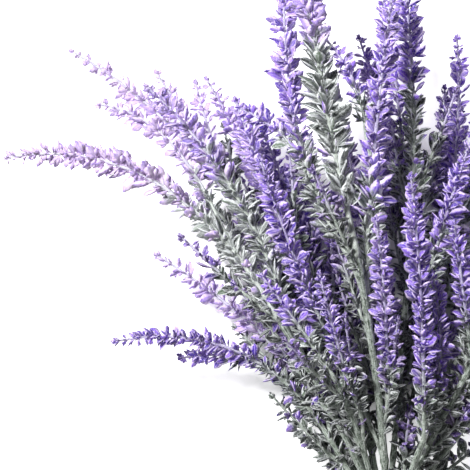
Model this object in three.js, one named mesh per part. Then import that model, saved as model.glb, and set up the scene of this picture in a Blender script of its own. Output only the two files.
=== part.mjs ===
// A bunch of dried lavender, lying on a flat surface: sprigs that fork into leafy flower spikes, bound with
// twine below their lowest forks.
// Millimetres. +Y runs from the cut ends to the flower tips, +X across the fan, +Z up from the surface.
import * as THREE from "three";

// Overall sizes
const reach = 372; // from the twine to the furthest tip
const spread = 228; // from the twine's centre line to the widest tip
const depth = 112; // from the surface to the highest tip, roughly
const tailLength = 66; // of the cut stems below the twine

// The cut ends, against the same stems where they are bound
const tailSplay = 2.6; // how many times wider apart they stand
const tailOpening = 1.7; // how many times further apart in height
const tailDrop = 3; // how much lower they lie
const tailStagger = 1.5; // how unevenly they are cut, for each unit of a stem's height in the bundle

// Stems, stalks and foliage
const stemRadius = 1.7;
const stalkRadius = 1.2; // of a side shoot below its foliage
const coreRadius = 2.6; // the least room that leafy stalk keeps among its neighbours
const foliageRadius = 10.5; // at the fullest part of an ordinary spike
const tipRadius = 1.6;
const gap = 0.5; // between any two pieces
const sideGap = 0.75; // between a side shoot's start and its parent
const stemGap = 1.1; // between stems in the binding, which lean apart as they leave it
const stemSides = 6;
const spikeSides = 8;
const stationStep = 13; // between the rings of a spike
const stemStep = 20; // between the rings of a stem
const stemElbowRise = 0.5; // the share of a stem's climb that is behind it at its elbow
const spikeElbowRise = 0.55; // the same for a spike
const stemGuides = 4; // points that guide a stem past its elbow

// The outline of the foliage along a spike, in shares of its fullest radius
const outlineStart = 0.35;
const outlineSwell = 3.2; // over the whole foliage, until it is full
const outlineCrest = 1.18;
const outlineFall = 0.82; // from the crest to the tip

// Twine
const twineRadius = 1.1;
const twineTurns = 5;
const twineSpacing = 0.15; // between two turns
const twineStepsPerTurn = 18;
const twineSides = 6;
const bindingSlack = 1.2; // between the outermost stems and the twine
const straightBeyond = 7; // of the stems on each side of the twine
const knotLength = 9; // across the bundle
const knotWidth = 7.6; // along the bundle
const knotHeight = 5.4;

// How the stems lie in the binding, row by row from the surface up. Each row nests in the one below.
const stemsPerRow = [3, 4, 4, 3];
const stemPitch = 2 * stemRadius + stemGap;
const rowPitch = stemPitch * Math.sin(Math.PI / 3);
const bindingInner = bundleRadius() + bindingSlack;
const bindingCentre = bindingInner + 2 * twineRadius; // height of the bundle's middle above the surface

// The furthest that a shoot may be moved off its chosen height to find room, and the steps that it is tried in
const furthestLift = 60;
const liftStep = 2;
const furthestArch = 24;
const archStep = 6;

// The sprigs. Places are [across, along] from the twine, in percent of spread and reach; heights are in percent
// of depth. Each stem bends past its elbow to its top, and each spike past its elbow to its tip. A spike grows
// from its stem's top, from a place `at` some share of the stem, or `on` another spike of the same sprig. `bare`
// is its leafless share, and `full` its fullness against an ordinary spike.
const sprigs = [
  // back of the left side, and the pale outer spikes
  {
    name: "01", slot: [0, 0], elbow: [-20, 31], top: [-40, 54], height: 13,
    spikes: [
      { elbow: [-55, 70], tip: [-83.5, 80], height: 9, bare: 0.1, full: 0.8 },
      { at: 0.86, elbow: [-44, 61], tip: [-61, 76.5], height: 20, bare: 0.2, full: 0.8 },
      { at: 0.72, elbow: [-46, 62], tip: [-50.5, 75], height: 12, bare: 0.2, full: 0.8 },
    ],
  },
  // back of the middle
  {
    name: "02", slot: [1, 0], elbow: [-4, 17], top: [-9.5, 33], height: 17,
    spikes: [
      { elbow: [-11, 46], tip: [-18, 58], height: 30, bare: 0.1, full: 1 },
      { at: 0.82, elbow: [-6, 51], tip: [-11, 66.5], height: 40, bare: 0.2, full: 1 },
      { at: 0.7, elbow: [-17, 46], tip: [-24.5, 60], height: 14, bare: 0.2, full: 1 },
    ],
  },
  // back of the right side
  {
    name: "03", slot: [2, 0], elbow: [9, 28], top: [14, 48], height: 13,
    spikes: [
      { elbow: [16, 60], tip: [15.5, 74], height: 24, bare: 0.06, full: 1.15 },
      { at: 0.86, elbow: [21, 64], tip: [18.5, 82], height: 38, bare: 0.15, full: 1 },
      { at: 0.74, elbow: [27, 62], tip: [31, 88], height: 14, bare: 0.2, full: 1 },
    ],
  },
  // low on the left, behind
  {
    name: "04", slot: [0, 1], elbow: [-12.5, 20], top: [-26, 29.5], height: 14,
    spikes: [
      { elbow: [-39, 38.5], tip: [-61, 46.8], height: 9, bare: 0.05, full: 0.8 },
      { at: 0.75, elbow: [-18.5, 35], tip: [-25.5, 48], height: 45, bare: 0.1, full: 1 },
    ],
  },
  // upper left, middle depth
  {
    name: "05", slot: [1, 1], elbow: [-13.5, 28], top: [-25.5, 48.5], height: 30,
    spikes: [
      { elbow: [-36.5, 63.5], tip: [-47.6, 75.4], height: 24, bare: 0.08, full: 0.85 },
      { at: 0.9, elbow: [-33, 60], tip: [-40, 72], height: 40, bare: 0.15, full: 1 },
      { at: 0.78, elbow: [-24, 57], tip: [-34, 68], height: 21, bare: 0.2, full: 1.1 },
    ],
  },
  // tall, right of the middle
  {
    name: "06", slot: [2, 1], elbow: [4.5, 31], top: [6.8, 57.5], height: 50,
    spikes: [
      { elbow: [8, 75], tip: [3, 97.5], height: 66, bare: 0.02, full: 1.1 },
      { at: 0.92, elbow: [4, 72], tip: [-1.5, 90], height: 44, bare: 0.1, full: 1 },
      { at: 0.84, elbow: [1, 67], tip: [-7.3, 82], height: 34, bare: 0.15, full: 1 },
      { at: 0.6, elbow: [11, 47], tip: [23, 67], height: 60, bare: 0.1, full: 1.05 },
    ],
  },
  // right, behind
  {
    name: "07", slot: [3, 1], elbow: [16, 22], top: [30, 42], height: 22,
    spikes: [
      { elbow: [41, 59], tip: [47, 78], height: 22, bare: 0.08, full: 1 },
      { at: 0.86, elbow: [46, 50], tip: [60, 66], height: 12, bare: 0.12, full: 0.95 },
      { at: 0.74, elbow: [33, 55], tip: [33, 72], height: 42, bare: 0.12, full: 1 },
    ],
  },
  // low on the left, in front
  {
    name: "08", slot: [0, 2], elbow: [-9.5, 11.5], top: [-16.5, 18.5], height: 24,
    spikes: [
      { elbow: [-36, 37], tip: [-72, 32.8], height: 42, bare: 0.06, full: 0.95 },
      { on: 0, at: 0.4, elbow: [-43, 31.5], tip: [-54.5, 30], height: 24, bare: 0.1, full: 0.8 },
      { at: 0.66, elbow: [-16, 16.5], tip: [-22.5, 17], height: 14, bare: 0.1, full: 0.9 },
    ],
  },
  // the long left sprig
  {
    name: "09", slot: [1, 2], elbow: [-14, 23], top: [-29, 37], height: 58,
    spikes: [
      { elbow: [-57, 67], tip: [-99.8, 62.4], height: 68, bare: 0.05, full: 1 },
      { at: 0.95, elbow: [-35.5, 58.5], tip: [-63.4, 74], height: 60, bare: 0.08, full: 1 },
      { on: 0, at: 0.32, elbow: [-57, 70], tip: [-76, 71], height: 48, bare: 0.08, full: 0.9 },
    ],
  },
  // right, middle depth
  {
    name: "10", slot: [2, 2], elbow: [10.5, 16], top: [22, 29], height: 54,
    spikes: [
      { elbow: [20, 40], tip: [17, 52], height: 78, bare: 0.05, full: 1.05 },
      { at: 0.9, elbow: [42, 46], tip: [52, 66], height: 52, bare: 0.1, full: 1 },
      { at: 0.76, elbow: [31, 36], tip: [38, 58], height: 66, bare: 0.1, full: 1.05 },
    ],
  },
  // low on the right
  {
    name: "11", slot: [3, 2], elbow: [16, 17], top: [34, 29], height: 30,
    spikes: [
      { elbow: [58, 41], tip: [84, 47], height: 34, bare: 0.06, full: 0.95 },
      { at: 0.85, elbow: [54, 34], tip: [74, 35], height: 14, bare: 0.1, full: 0.9 },
      { at: 0.7, elbow: [44, 38], tip: [70, 56], height: 46, bare: 0.1, full: 1 },
    ],
  },
  // in front, right of the middle
  {
    name: "12", slot: [2, 3], elbow: [5.8, 11], top: [9.5, 17], height: 50,
    spikes: [
      { elbow: [9.7, 38], tip: [5.6, 59.6], height: 98, bare: 0.1, full: 1.1 },
      { at: 0.85, elbow: [17.5, 28], tip: [11.5, 44], height: 70, bare: 0.15, full: 1 },
    ],
  },
  // the great middle sprig
  {
    name: "13", slot: [1, 3], elbow: [-0.8, 23.5], top: [-8.4, 47.6], height: 78,
    spikes: [
      { elbow: [-18, 72.5], tip: [-23.7, 100], height: 84, bare: 0.28, full: 1.2 },
      { at: 0.97, elbow: [-29, 64], tip: [-27, 92], height: 74, bare: 0.1, full: 0.95 },
      { on: 1, at: 0.4, elbow: [-26, 66.5], tip: [-39.2, 70.5], height: 66, bare: 0.08, full: 0.85 },
      { at: 0.93, elbow: [-4.2, 66.3], tip: [0.8, 88], height: 84, bare: 0.05, full: 1.1 },
      { on: 3, at: 0.5, elbow: [-6.6, 75], tip: [-16.6, 81.5], height: 78, bare: 0.1, full: 0.8 },
      { at: 0.62, elbow: [0.2, 38.2], tip: [-3.4, 52.7], height: 92, bare: 0.08, full: 0.95 },
      { at: 0.55, elbow: [-23.4, 42.3], tip: [-33.4, 62], height: 88, bare: 0.12, full: 1.1 },
    ],
  },
  // low in front, left of the middle
  {
    name: "14", slot: [0, 3], elbow: [-6, 18], top: [-14, 27], height: 62,
    spikes: [
      { elbow: [-22.5, 35], tip: [-33, 43.5], height: 70, bare: 0.06, full: 0.95 },
      { at: 0.8, elbow: [-14, 33], tip: [-18, 44], height: 76, bare: 0.1, full: 0.9 },
    ],
  },
];

function bundleRadius() {
  return Math.max(...stemsPerRow.flatMap((_, row) =>
    bindingRow(row).map((slot) => Math.hypot(slot.x, slot.z) + stemRadius)));
}

// The middles of one row's stems where the twine binds them, measured from the bundle's middle.
function bindingRow(row) {
  const count = stemsPerRow[row];
  const shift = (row < stemsPerRow.length / 2 ? -1 : 1) * (stemPitch / 4);
  return Array.from({ length: count }, (_, i) => ({
    x: (i - (count - 1) / 2) * stemPitch + shift,
    z: (row - (stemsPerRow.length - 1) / 2) * rowPitch,
  }));
}

const placeOf = ([across, along], z) =>
  new THREE.Vector3((across / 100) * spread, (along / 100) * reach, z);

// A shoot is a curve with rings at its stations, each with the radius it would like and the least it must have.
function measured(shoot, step) {
  const count = Math.max(4, Math.round(shoot.curve.getLength() / step));
  shoot.stations = shoot.curve.getSpacedPoints(count);
  shoot.wanted = shoot.stations.map((_, i) => shoot.radiusAt(i / count));
  shoot.least = shoot.wanted.map((r) => Math.min(r, coreRadius));
  return shoot;
}

// A stem runs from its cut end, straight through the binding, and past its elbow to its top.
function stemShoot(sprig, { lift, arch }) {
  const slot = bindingRow(sprig.slot[1])[sprig.slot[0]];
  const bound = new THREE.Vector3(slot.x, 0, bindingCentre + slot.z);
  const bindingHalf = twineRadius * twineTurns + straightBeyond;
  const height = Math.max(stemRadius, (sprig.height / 100) * depth + lift);
  const top = placeOf(sprig.top, height);
  const rise = bound.clone().setY(bindingHalf);
  const elbowHeight = THREE.MathUtils.lerp(rise.z, height, stemElbowRise) + arch;
  const elbow = placeOf(sprig.elbow, Math.max(stemRadius, elbowHeight));
  const upper = new THREE.QuadraticBezierCurve3(rise, elbow, top).getSpacedPoints(stemGuides);
  const stagger = sprig.slot[0] % 2 ? tailStagger : -tailStagger;
  const cut = new THREE.Vector3(
    slot.x * tailSplay,
    -tailLength - stagger * slot.z,
    Math.max(stemRadius, bindingCentre + slot.z * tailOpening - tailDrop),
  );
  const curve = new THREE.CatmullRomCurve3([cut, bound.clone().setY(-bindingHalf), bound, ...upper]);
  const name = "stem_" + sprig.name;
  return measured({ name, curve, radiusAt: () => stemRadius, sides: stemSides }, stemStep);
}

// The outline of a spike: a bare stalk, then foliage that is fullest in its lower half, then a slim tip.
function foliageAt(share, bare, full) {
  if (share < bare) return stalkRadius;
  const t = (share - bare) / (1 - bare);
  const swell = Math.min(1, outlineStart + outlineSwell * t) * Math.min(1, outlineCrest - outlineFall * t * t);
  return share === 1 ? tipRadius : Math.max(tipRadius, foliageRadius * full * swell);
}

// A spike leaves its parent sideways, just clear of it, unless it carries on from the stem's own top.
function spikeShoot(sprig, spec, parent, { lift, arch }) {
  const isTop = spec.at === undefined;
  const heading = parent.curve.getTangentAt(isTop ? 1 : spec.at);
  const root = parent.curve.getPointAt(isTop ? 1 : spec.at);
  const height = Math.max(coreRadius, (spec.height / 100) * depth + lift);
  const tip = placeOf(spec.tip, height);
  const elbowHeight = THREE.MathUtils.lerp(root.z, height, spikeElbowRise) + arch;
  const elbow = placeOf(spec.elbow, Math.max(coreRadius, elbowHeight));
  if (isTop) {
    const turn = heading.angleTo(elbow.clone().sub(root));
    root.addScaledVector(heading, gap + stemRadius * Math.sin(turn));
  } else {
    const away = elbow.clone().sub(root).projectOnPlane(heading).normalize();
    const parentRadius = parent.isSpike ? coreRadius : stemRadius;
    root.addScaledVector(away, parentRadius + coreRadius + sideGap);
  }
  const curve = new THREE.QuadraticBezierCurve3(root, elbow, tip);
  const radiusAt = (share) => foliageAt(share, spec.bare, spec.full);
  return measured({ curve, radiusAt, sides: spikeSides, isSpike: true }, stationStep);
}

// The least distance between two straight stretches, a to b and c to d.
function stretchDistance(a, b, c, d) {
  const u = b.clone().sub(a), v = d.clone().sub(c), w = a.clone().sub(c);
  const uu = u.dot(u), uv = u.dot(v), vv = v.dot(v), uw = u.dot(w), vw = v.dot(w);
  const spare = uu * vv - uv * uv;
  let s = spare > 1e-9 ? THREE.MathUtils.clamp((uv * vw - vv * uw) / spare, 0, 1) : 0;
  const t = THREE.MathUtils.clamp((uv * s + vw) / vv, 0, 1);
  s = THREE.MathUtils.clamp((uv * t - uw) / uu, 0, 1);
  return w.addScaledVector(u, s).addScaledVector(v, -t).length();
}

const fullest = Math.max(...sprigs.flatMap((sprig) => sprig.spikes.map((spec) => spec.full)));
const near = 2 * fullest * foliageRadius + gap + stemStep + stationStep; // stations further apart can't crowd

// Calls visit(i, j, distance) for each pair of stretches of two shoots that may come near each other.
function eachStretchPair(one, other, visit) {
  for (let i = 0; i + 1 < one.stations.length; i++)
    for (let j = 0; j + 1 < other.stations.length; j++)
      if (one.stations[i].distanceTo(other.stations[j]) < near)
        visit(i, j, stretchDistance(
          one.stations[i], one.stations[i + 1], other.stations[j], other.stations[j + 1]));
}

const widest = (radii, i) => Math.max(radii[i], radii[i + 1]);

const isGrowingOn = (shoot, other) => shoot.growsOn && shoot.parent === other;

// How far the worst pair of stretches is from having the least room that it needs.
function shortfall(shoot, placed) {
  let worst = 0;
  for (const other of placed) {
    if (isGrowingOn(shoot, other)) continue;
    eachStretchPair(shoot, other, (i, j, distance) => {
      worst = Math.max(worst, widest(shoot.least, i) + widest(other.least, j) + gap - distance);
    });
  }
  return worst;
}

// The ways to move a shoot off its chosen height, the smallest move first: its tip lifted, its middle arched.
const moves = [];
for (let lift = -furthestLift; lift <= furthestLift; lift += liftStep)
  for (let arch = -furthestArch; arch <= furthestArch; arch += archStep) moves.push({ lift, arch });
moves.sort((a, b) => Math.abs(a.lift) + Math.abs(a.arch) - Math.abs(b.lift) - Math.abs(b.arch));

// Moves a shoot until it has room among those already in place, or to where it lacks least. One that growsOn
// carries on from its parent's own end, so its parent doesn't crowd it.
function settle(make, placed, parent, growsOn) {
  let best = null, least = Infinity;
  for (const move of moves) {
    const shoot = Object.assign(make(move), { parent, growsOn });
    const lack = shortfall(shoot, placed);
    if (lack < least) [best, least] = [shoot, lack];
    if (least <= 0) break;
  }
  placed.push(best);
  return best;
}

const shoots = [];
for (const sprig of sprigs) {
  const stem = settle((move) => stemShoot(sprig, move), shoots);
  const grown = [];
  sprig.spikes.forEach((spec, i) => {
    const parent = spec.on === undefined ? stem : grown[spec.on];
    const growsOn = spec.at === undefined;
    const spike = settle((move) => spikeShoot(sprig, spec, parent, move), shoots, parent, growsOn);
    spike.name = "spike_" + sprig.name + "abcdefg"[i];
    grown.push(spike);
  });
}

// Foliage is pressed in where two shoots crowd each other or lie on the surface.
for (const shoot of shoots) {
  shoot.radii = shoot.wanted.map((r, i) => Math.max(shoot.least[i], Math.min(r, shoot.stations[i].z)));
}
for (const shoot of shoots)
  for (const other of shoots) {
    if (other === shoot || isGrowingOn(shoot, other) || isGrowingOn(other, shoot)) continue;
    eachStretchPair(shoot, other, (i, j, distance) => {
      const free = distance - gap;
      const theirs = widest(other.wanted, j), least = widest(other.least, j);
      const room = theirs <= least ? free - theirs : Math.max(free / 2, free - theirs);
      for (const k of [i, i + 1])
        shoot.radii[k] = Math.max(shoot.least[k], Math.min(shoot.radii[k], room));
    });
  }

// Turns a straight lathed body, whose height counts stations, into one that follows the stations of a curve.
function bentLathe(curve, stationCount, radii, sides, pointed) {
  const last = stationCount - 1;
  const profile = [new THREE.Vector2(0, 0), ...radii.map((r, i) => new THREE.Vector2(r, i))];
  if (pointed) profile.pop();
  profile.push(new THREE.Vector2(0, last));
  const body = new THREE.LatheGeometry(profile, sides);
  const frames = curve.computeFrenetFrames(last);
  const stations = curve.getSpacedPoints(last);
  const points = body.getAttribute("position");
  for (let i = 0; i < points.count; i++) {
    const station = Math.round(points.getY(i));
    const place = stations[station].clone()
      .addScaledVector(frames.normals[station], points.getX(i))
      .addScaledVector(frames.binormals[station], points.getZ(i));
    points.setXYZ(i, place.x, place.y, place.z);
  }
  body.deleteAttribute("normal");
  body.deleteAttribute("uv");
  return facingOut(body);
}

// A lathed body can come out inside out when its frame is left-handed: a negative volume has its faces turned.
function facingOut(body) {
  const points = body.getAttribute("position"), index = body.getIndex();
  const corner = (k) => new THREE.Vector3().fromBufferAttribute(points, index.getX(k));
  let volume = 0;
  for (let k = 0; k < index.count; k += 3)
    volume += corner(k).dot(corner(k + 1).cross(corner(k + 2)));
  if (volume < 0)
    for (let k = 0; k < index.count; k += 3) {
      const second = index.getX(k + 1);
      index.setX(k + 1, index.getX(k + 2));
      index.setX(k + 2, second);
    }
  return body;
}

// The twine's own line: close turns round the bound stems.
class Winding extends THREE.Curve {
  getPoint(share, target = new THREE.Vector3()) {
    const angle = share * twineTurns * 2 * Math.PI + Math.PI / 2;
    const radius = bindingInner + twineRadius;
    const along = (share - 0.5) * twineTurns * (2 * twineRadius + twineSpacing);
    return target.set(radius * Math.cos(angle), along, bindingCentre + radius * Math.sin(angle));
  }
}

const stemMaterial = new THREE.MeshStandardMaterial({ color: 0x8f9c88, roughness: 0.95, metalness: 0 });
const spikeMaterial = new THREE.MeshStandardMaterial({ color: 0x9078c8, roughness: 0.95, metalness: 0 });
const twineMaterial = new THREE.MeshStandardMaterial({ color: 0xb08d5b, roughness: 1, metalness: 0 });

const bunch = new THREE.Group();
function addPiece(name, geometry, material) {
  const mesh = new THREE.Mesh(geometry, material);
  mesh.name = name;
  bunch.add(mesh);
}

for (const shoot of shoots)
  addPiece(shoot.name,
    bentLathe(shoot.curve, shoot.stations.length, shoot.radii, shoot.sides, shoot.isSpike),
    shoot.isSpike ? spikeMaterial : stemMaterial);

const winding = new Winding();
const windingStations = twineTurns * twineStepsPerTurn + 1;
const windingRadii = Array(windingStations).fill(twineRadius);
addPiece("twine_binding", bentLathe(winding, windingStations, windingRadii, twineSides, false), twineMaterial);

const knot = new THREE.SphereGeometry(0.5, 8, 6);
knot.scale(knotLength, knotWidth, knotHeight);
knot.translate(0, 0, bindingCentre + bindingInner + 2 * twineRadius + knotHeight / 2 + gap);
addPiece("twine_knot", knot, twineMaterial);

// The origin is on the surface, under the middle of the bunch.
const box = new THREE.Box3().setFromObject(bunch);
const middle = box.getCenter(new THREE.Vector3());
bunch.position.set(-middle.x, -middle.y, -box.min.z);

export default bunch;
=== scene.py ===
import bisect
import math
import random

import bmesh
import bpy
from mathutils import Matrix, Vector, noise


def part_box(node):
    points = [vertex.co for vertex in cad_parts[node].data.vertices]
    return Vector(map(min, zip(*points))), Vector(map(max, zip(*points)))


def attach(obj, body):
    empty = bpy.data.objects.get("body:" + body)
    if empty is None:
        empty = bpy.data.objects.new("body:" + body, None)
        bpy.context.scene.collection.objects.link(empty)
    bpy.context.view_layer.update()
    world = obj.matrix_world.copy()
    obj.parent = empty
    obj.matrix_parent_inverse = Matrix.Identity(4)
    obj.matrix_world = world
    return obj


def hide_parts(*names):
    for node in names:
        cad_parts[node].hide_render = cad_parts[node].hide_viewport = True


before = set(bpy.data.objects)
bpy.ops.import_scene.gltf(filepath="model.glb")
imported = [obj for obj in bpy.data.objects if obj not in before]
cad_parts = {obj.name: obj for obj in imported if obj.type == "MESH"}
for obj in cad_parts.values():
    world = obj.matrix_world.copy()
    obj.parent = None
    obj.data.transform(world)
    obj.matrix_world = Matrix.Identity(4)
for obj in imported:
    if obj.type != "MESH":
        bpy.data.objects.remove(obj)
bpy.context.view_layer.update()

millimetre = 0.001
print("frame loaded:", len(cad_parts), "nodes")


# Camera: straight down on the bunch, as it lies, from far enough away to keep it undistorted.
viewSettings = {
    "across": -0.0912,  # middle of the view, measured from the tie
    "along": 0.186,
    "width": 0.282,  # how much of the bunch it takes in
    "widthHeight": 0.05,  # the height above the floor where that width is met
    "height": 4.0,
    "sensor": 36,
    "nearest": 0.1,  # nothing is drawn that is nearer or further than these
    "furthest": 50,
}

tieLow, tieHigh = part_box("twine_binding")
tie = (tieLow + tieHigh) / 2


def placeCamera(settings):
    lens = bpy.data.cameras.new("camera")
    lens.sensor_width = settings["sensor"]
    reach = settings["height"] - settings["widthHeight"]
    lens.lens = settings["sensor"] * reach / settings["width"]
    lens.clip_start = settings["nearest"]
    lens.clip_end = settings["furthest"]
    camera = bpy.data.objects.new("camera", lens)
    camera.location = (tie.x + settings["across"], tie.y + settings["along"], settings["height"])
    bpy.context.scene.collection.objects.link(camera)
    bpy.context.scene.camera = camera


placeCamera(viewSettings)


# Small tools for materials: a Socket takes part in plain arithmetic, and a Recipe makes every other node.
def linear(red, green, blue):  # each is given from 0 to 255
    def one(value):
        value /= 255
        return value / 12.92 if value <= 0.04045 else ((value + 0.055) / 1.055) ** 2.4
    return (one(red), one(green), one(blue), 1)


class Socket:
    def __init__(self, recipe, end):
        self.recipe = recipe
        self.end = end

    def maths(self, operation, first, second):
        return self.recipe.node("Math", {"operation": operation}, {0: first, 1: second})

    def __add__(self, other):
        return self.maths("ADD", self, other)

    def __radd__(self, other):
        return self.maths("ADD", other, self)

    def __sub__(self, other):
        return self.maths("SUBTRACT", self, other)

    def __rsub__(self, other):
        return self.maths("SUBTRACT", other, self)

    def __mul__(self, other):
        return self.maths("MULTIPLY", self, other)

    def __rmul__(self, other):
        return self.maths("MULTIPLY", other, self)

    def __truediv__(self, other):
        return self.maths("DIVIDE", self, other)

    def __rtruediv__(self, other):
        return self.maths("DIVIDE", other, self)

    def __pow__(self, other):
        return self.maths("POWER", self, other)

    def __abs__(self):
        return self.maths("ABSOLUTE", self, 0)


class Recipe:
    def __init__(self, name):
        self.material = bpy.data.materials.new(name)
        self.material.use_nodes = True
        self.tree = self.material.node_tree
        self.tree.nodes.clear()

    def node(self, kind, settings=None, values=None, output=0):
        made = self.tree.nodes.new("ShaderNode" + kind)
        for name, value in (settings or {}).items():
            setattr(made, name, value)
        for name, value in (values or {}).items():
            if isinstance(value, Socket):
                self.tree.links.new(value.end, made.inputs[name])
            else:
                made.inputs[name].default_value = value
        return Socket(self, made.outputs[output])

    def attribute(self, name):
        return self.node("Attribute", {"attribute_name": name}, output="Fac")

    def place(self):
        return self.node("TexCoord", output="Object")

    def noise(self, vector, scale, detail=2.0, roughness=0.5):
        values = {"Vector": vector, "Scale": scale, "Detail": detail, "Roughness": roughness}
        return self.node("TexNoise", values=values, output="Fac")

    def fade(self, value, low, high):
        settings = {"interpolation_type": "SMOOTHSTEP"}
        return self.node("MapRange", settings, {"Value": value, "From Min": low, "From Max": high})

    def mix(self, share, first, second):
        settings = {"data_type": "RGBA", "clamp_factor": True}
        return self.node("Mix", settings, {0: share, 6: first, 7: second}, output=2)

    def parts(self, vector):
        split = self.node("SeparateXYZ", values={0: vector}).end.node
        return [Socket(self, end) for end in split.outputs]

    def finish(self, colour, constants, height=None, depth=0.0):
        shader = self.node("BsdfPrincipled", values={"Base Color": colour, **constants}).end.node
        if height:
            bump = self.node("Bump", values={"Height": height, "Distance": depth, "Strength": 1.0})
            self.tree.links.new(bump.end, shader.inputs["Normal"])
        end = self.tree.nodes.new("ShaderNodeOutputMaterial")
        self.tree.links.new(shader.outputs[0], end.inputs["Surface"])
        return self.material


# Foliage: purple florets that fade into grey-green leaves, with frosted edges round a darker middle.
foliageColours = {
    "floretDeep": linear(60, 32, 154),
    "floretMid": linear(134, 96, 220),
    "floretRim": linear(226, 209, 247),
    "leafDeep": linear(28, 33, 30),
    "leafMid": linear(122, 130, 123),
    "leafGreen": linear(84, 112, 76),
    "leafRim": linear(225, 229, 229),
    "dried": linear(242, 222, 247),
    # painted shade, the near-black that leaves deep in the bunch are darkened towards
    "paintedShade": linear(32, 30, 34),
}

# Pairs are the values between which something fades in. Scales are per metre, but streaks go by the length
# and width of their leaf.
foliageFinish = {
    "constants": {"Roughness": 0.82, "Specular IOR Level": 0.25},
    "bumpDepth": 0.25 * millimetre,
    "fineBump": 0.3,  # the specks' share in it
    "speckScale": 1100.0,
    "mottleScale": 330.0,
    "streakScale": 2.4,
    "streakSpread": (2.6, 0.9, 41.0),  # how much streaks change across a leaf, along it and from leaf to leaf
    "body": (0.36, 0.72),
    "bodyByLeaf": 0.5,  # how much lighter and darker whole leaves are
    "greener": (0.78, 0.95),  # the few greener leaves
    "greenShare": 0.6,
    "purple": (0.35, 0.65),
    "purpleAtPoint": 0.5,
    "purpleMottle": 0.4,
    "rim": (0.34, 0.72),
    "rimRagged": 0.7,
    "midrib": (0.14, 0.02),
    "midribShare": 0.35,
    "foot": (0.34, 0.02),
    "footShare": 0.5,
    "shadedEdges": 0.72,  # the share of the pale edges that painted shade darkens away
    "dust": (0.54, 0.68),
    "dustClumps": 0.6,
    "dustShare": 0.52,
    "dustLessOnPurple": 0.12,
    "dustMoreWhenPale": 0.3,
    "point": (0.6, 0.95),
    "driedShare": 0.9,
    "driedLessAtPoint": 0.55,
    "driedOnLeaves": 0.45,  # how much leaves take part in it, against florets
}


def foliageMaterial(finish):
    recipe = Recipe("driedFoliage")
    colours = foliageColours
    purple = recipe.attribute("purple")
    pale = recipe.attribute("pale")
    paintedShade = recipe.attribute("paintedShade")
    tint = recipe.attribute("tint")
    along = recipe.attribute("along")
    leftToRight = recipe.attribute("across")
    across = abs(leftToRight)
    place = recipe.place()
    spread = finish["streakSpread"]
    streakPlace = recipe.node("CombineXYZ", values={
        0: leftToRight * spread[0], 1: along * spread[1], 2: tint * spread[2]})
    streaks = recipe.noise(streakPlace, finish["streakScale"], detail=3.0, roughness=0.65)
    specks = recipe.noise(place, finish["speckScale"], roughness=0.7)
    mottle = recipe.noise(place, finish["mottleScale"], roughness=0.6)

    body = recipe.fade(streaks + (tint - 0.5) * finish["bodyByLeaf"], *finish["body"])
    floret = recipe.mix(body, colours["floretDeep"], colours["floretMid"])
    leaf = recipe.mix(body, colours["leafDeep"], colours["leafMid"])
    greener = recipe.fade(tint, *finish["greener"]) * finish["greenShare"]
    leaf = recipe.mix(greener, leaf, colours["leafGreen"])
    towardsPoint = (along - 0.5) * finish["purpleAtPoint"]
    mottling = (mottle - 0.5) * finish["purpleMottle"]
    purpleHere = recipe.fade(purple + towardsPoint + mottling, *finish["purple"])
    colour = recipe.mix(purpleHere, leaf, floret)
    # Painted shade: leaves deep in the bunch and spikes in shade are darkened towards near-black.
    colour = recipe.mix(paintedShade, colour, colours["paintedShade"])

    frost = recipe.mix(purpleHere, colours["leafRim"], colours["floretRim"])
    rim = recipe.fade(across + (specks - 0.5) * finish["rimRagged"], *finish["rim"])
    midrib = recipe.fade(across, *finish["midrib"]) * finish["midribShare"]
    foot = recipe.fade(along, *finish["foot"]) * finish["footShare"]
    # Under painted shade the frosted rims, midrib and foot pale less.
    colour = recipe.mix((rim + midrib + foot) * (1 - paintedShade * finish["shadedEdges"]), colour, frost)
    dust = recipe.fade(specks + (mottle - 0.5) * finish["dustClumps"], *finish["dust"])
    dustShare = finish["dustShare"] - purpleHere * finish["dustLessOnPurple"]
    colour = recipe.mix(dust * (dustShare + pale * finish["dustMoreWhenPale"]), colour, frost)

    dried = recipe.mix(purpleHere, colours["leafRim"], colours["dried"])
    driedShare = finish["driedShare"] - recipe.fade(along, *finish["point"]) * finish["driedLessAtPoint"]
    driedByKind = finish["driedOnLeaves"] + purpleHere * (1 - finish["driedOnLeaves"])
    colour = recipe.mix(pale * driedShare * driedByKind, colour, dried)
    height = streaks * (1 - finish["fineBump"]) + specks * finish["fineBump"]
    return recipe.finish(colour, finish["constants"], height, finish["bumpDepth"])


def fibreNoise(recipe, finish):
    spread = finish["fibreSpread"]
    place = recipe.node("CombineXYZ", values={
        0: recipe.attribute("around") * spread[0], 1: recipe.attribute("along") * spread[1]})
    return recipe.noise(place, finish["fibreScale"], detail=3.0, roughness=0.6)


# Bark of the stems and stalks: grey-green with a pale bloom, turning lilac along the flowering stalks.
barkColours = {
    "deep": linear(76, 88, 74),
    "mid": linear(166, 177, 166),
    "bloom": linear(234, 238, 234),
    "lilac": linear(198, 186, 220),
    "lilacDeep": linear(126, 106, 168),
    "pith": linear(222, 214, 184),
}

barkFinish = {
    "constants": {"Roughness": 0.85, "Specular IOR Level": 0.25},
    "bumpDepth": 0.4 * millimetre,
    "fineBump": 0.3,
    "fibreScale": 3.0,
    "fibreSpread": (3.2, 0.05),  # how much fibres change half way round, and in a millimetre along
    "blotchScale": 380.0,
    "blotchShare": 0.8,
    "speckScale": 1900.0,
    "tone": (0.3, 0.7),
    "bloom": (0.46, 0.68),
    "bloomAlongFibres": 0.6,
    "bloomShare": 0.62,
    "bloomMoreWhenPale": 0.35,
    "paleShare": 0.7,
}


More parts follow.
